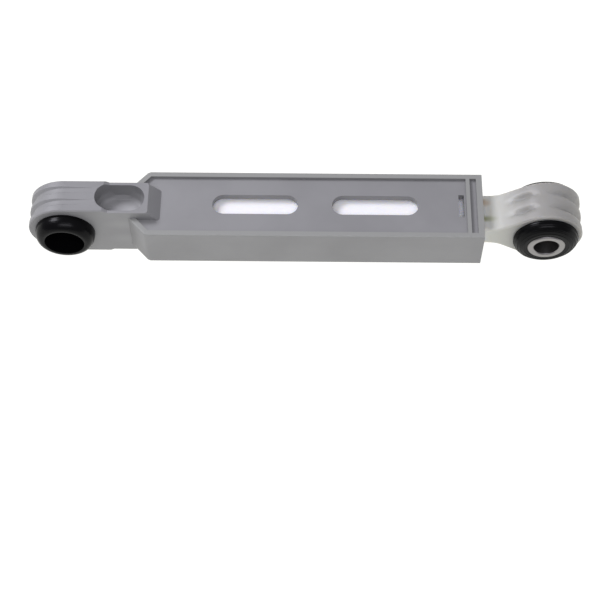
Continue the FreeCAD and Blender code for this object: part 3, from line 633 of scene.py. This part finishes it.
# Polyurethane foam, open cells soaked in grease: dull yellow-grey, darker in the pores
foamLook = {
    "tone": "8A7F63",
    "pore": "3A3426",
    "poreTo": 0.15,
    "skinFrom": 0.6,
    "cell": 0.8,
    "depth": 0.25,
    "roughness": 0.62,
    "bulge": 0.45,
    "bulgeShare": 0.8,
    "faceRound": 0.04,
    "edgeRound": 0.05,
    "edgePower": 6,
    "cuts": 5,
    "softenings": 2,
}


def greasedFoam(look):
    material, tree = newMaterial("greasedFoam")
    place = addNode(tree, "ShaderNodeTexCoord").outputs["Object"]
    cells = addNode(tree, "ShaderNodeTexVoronoi", {"Scale": 1 / (look["cell"] * mm)}, {"Vector": place})
    ramp = addNode(tree, "ShaderNodeValToRGB", {}, {"Fac": cells.outputs["Distance"]})
    low, high = ramp.color_ramp.elements
    low.position = look["poreTo"]
    low.color = linear(look["pore"])
    high.position = look["skinFrom"]
    high.color = linear(look["tone"])
    bump = addNode(tree, "ShaderNodeBump", {"Strength": 0.8, "Distance": look["depth"] * mm},
                   {"Height": cells.outputs["Distance"]})
    finishMaterial(tree, {"Roughness": look["roughness"]},
                   {"Base Color": ramp.outputs["Color"], "Normal": bump.outputs["Normal"]})
    return material


def foamPad(name, look):
    # a slab cut from foam sheet: rounded by its cut edges, with ends that bulge between its faces
    low, high = (Vector(corner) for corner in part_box(name))
    middle = (low + high) / 2
    half = (high - low) / 2
    shape = bmesh.new()
    bmesh.ops.create_cube(shape, size=2.0)
    bmesh.ops.subdivide_edges(shape, edges=shape.edges, cuts=look["cuts"], use_grid_fill=True)
    drawnIn = look["bulge"] * mm / half.x
    power = look["edgePower"]
    for point in shape.verts:
        x, y, z = point.co
        length = 1 - look["faceRound"] * (y * y + z * z)
        length *= 1 - drawnIn * (1 - look["bulgeShare"] * (1 - y * y))
        width = 1 - look["edgeRound"] * (x ** power + z ** power)
        height = 1 - look["edgeRound"] * (x ** power + y ** power)
        point.co = middle + Vector((x * half.x * length, y * half.y * width, z * half.z * height))
    mesh = bpy.data.meshes.new(name)
    shape.to_mesh(mesh)
    shape.free()
    piece = newPiece(name + "Pad", mesh)
    soften = piece.modifiers.new("soften", "SUBSURF")
    soften.levels = soften.render_levels = look["softenings"]
    plainMesh(piece)
    piece.data.shade_smooth()
    return piece


foam = greasedFoam(foamLook)
for name in ("friction_lining_front", "friction_lining_rear"):
    pad = foamPad(name, foamLook)
    setOn(pad, foam)
    standFor(pad, "plunger_side", "lining_foam", name)

# Acetal, moulded white: smooth and slippery, a little whiter than the polyamide's neck
guideLook = {
    "edge": 0.2,
    "edgeFacets": 2,
    "edgeAngle": 28.0,
    "smoothAngle": 24.0,
    "tone": "ECECE8",
    "roughness": 0.35,
}
acetal, acetalTree = newMaterial("mouldedAcetal")
finishMaterial(acetalTree, {"Base Color": linear(guideLook["tone"]), "Roughness": guideLook["roughness"]})
for name in ("guide_block_front", "guide_block_rear"):
    block = mouldedCopy(name, guideLook)
    setOn(block, acetal)
    standFor(block, "housing_side", "guide_plastic", name)
print("linings and guides done")

# Camera: stands in front of the damper and looks down on it at about 60 degrees
camera = {"place": (95.4, -313.4, 487.5), "aim": (90.85, -37.04, 0.47), "roll": 0.334, "lens": 89.49,
          "sensor": 36.0, "nearest": 10.0}
eye = newPiece("camera", bpy.data.cameras.new("camera"))
eye.location = Vector(camera["place"]) * mm
sight = (Vector(camera["aim"]) - Vector(camera["place"])).to_track_quat("-Z", "Y")
eye.rotation_mode = "QUATERNION"
eye.rotation_quaternion = sight @ Quaternion((0, 0, 1), -math.radians(camera["roll"]))
eye.data.lens = camera["lens"]
eye.data.sensor_width = camera["sensor"]
eye.data.clip_start = camera["nearest"] * mm
bpy.context.scene.camera = eye

# Floor and light: a glowing white table, a softbox from the upper left and behind, one from
# above the camera, and a dim room
studio = {
    "height": -14.12,
    "reach": 3000.0,
    "table": "303030",
    "tableRoughness": 0.9,
    "tableLight": (1.0, 1.0, 0.975, 1.0),
    "glow": 1.06,
    "room": 0.34,
    "light": (0.985, 0.975, 1.06),
    "aim": (92.0, 0.0, 0.0),
    "softboxes": [
        {"name": "keySoftbox", "place": (-727, 384, 992), "size": (480, 480), "power": 11.6},
        {"name": "frontSoftbox", "place": (150, -600, 1040), "size": (900, 500), "power": 5.4},
    ],
}
bpy.context.scene.view_settings.view_transform = "Standard"
reach, height = studio["reach"] * mm, studio["height"] * mm
corners = [(x * reach, y * reach, height) for x, y in ((-1, -1), (1, -1), (1, 1), (-1, 1))]
plane = bpy.data.meshes.new("floor")
plane.from_pydata(corners, [], [(0, 1, 2, 3)])
floor = newPiece("floor", plane)
opal, opalTree = newMaterial("opalLightTable")
finishMaterial(opalTree, {"Base Color": linear(studio["table"]), "Roughness": studio["tableRoughness"],
                          "Emission Color": studio["tableLight"], "Emission Strength": studio["glow"]})
setOn(floor, opal)

world = bpy.data.worlds.new("studio")
world.use_nodes = True
background = world.node_tree.nodes["Background"]
background.inputs["Color"].default_value = (*studio["light"], 1.0)
background.inputs["Strength"].default_value = studio["room"]
bpy.context.scene.world = world

for box in studio["softboxes"]:
    lamp = bpy.data.lights.new(box["name"], "AREA")
    lamp.shape = "RECTANGLE"
    lamp.size, lamp.size_y = (side * mm for side in box["size"])
    lamp.energy = box["power"]
    lamp.color = studio["light"]
    softbox = newPiece(box["name"], lamp)
    softbox.location = Vector(box["place"]) * mm
    softbox.rotation_mode = "QUATERNION"
    softbox.rotation_quaternion = (Vector(studio["aim"]) - Vector(box["place"])).to_track_quat("-Z", "Y")
print("studio done")
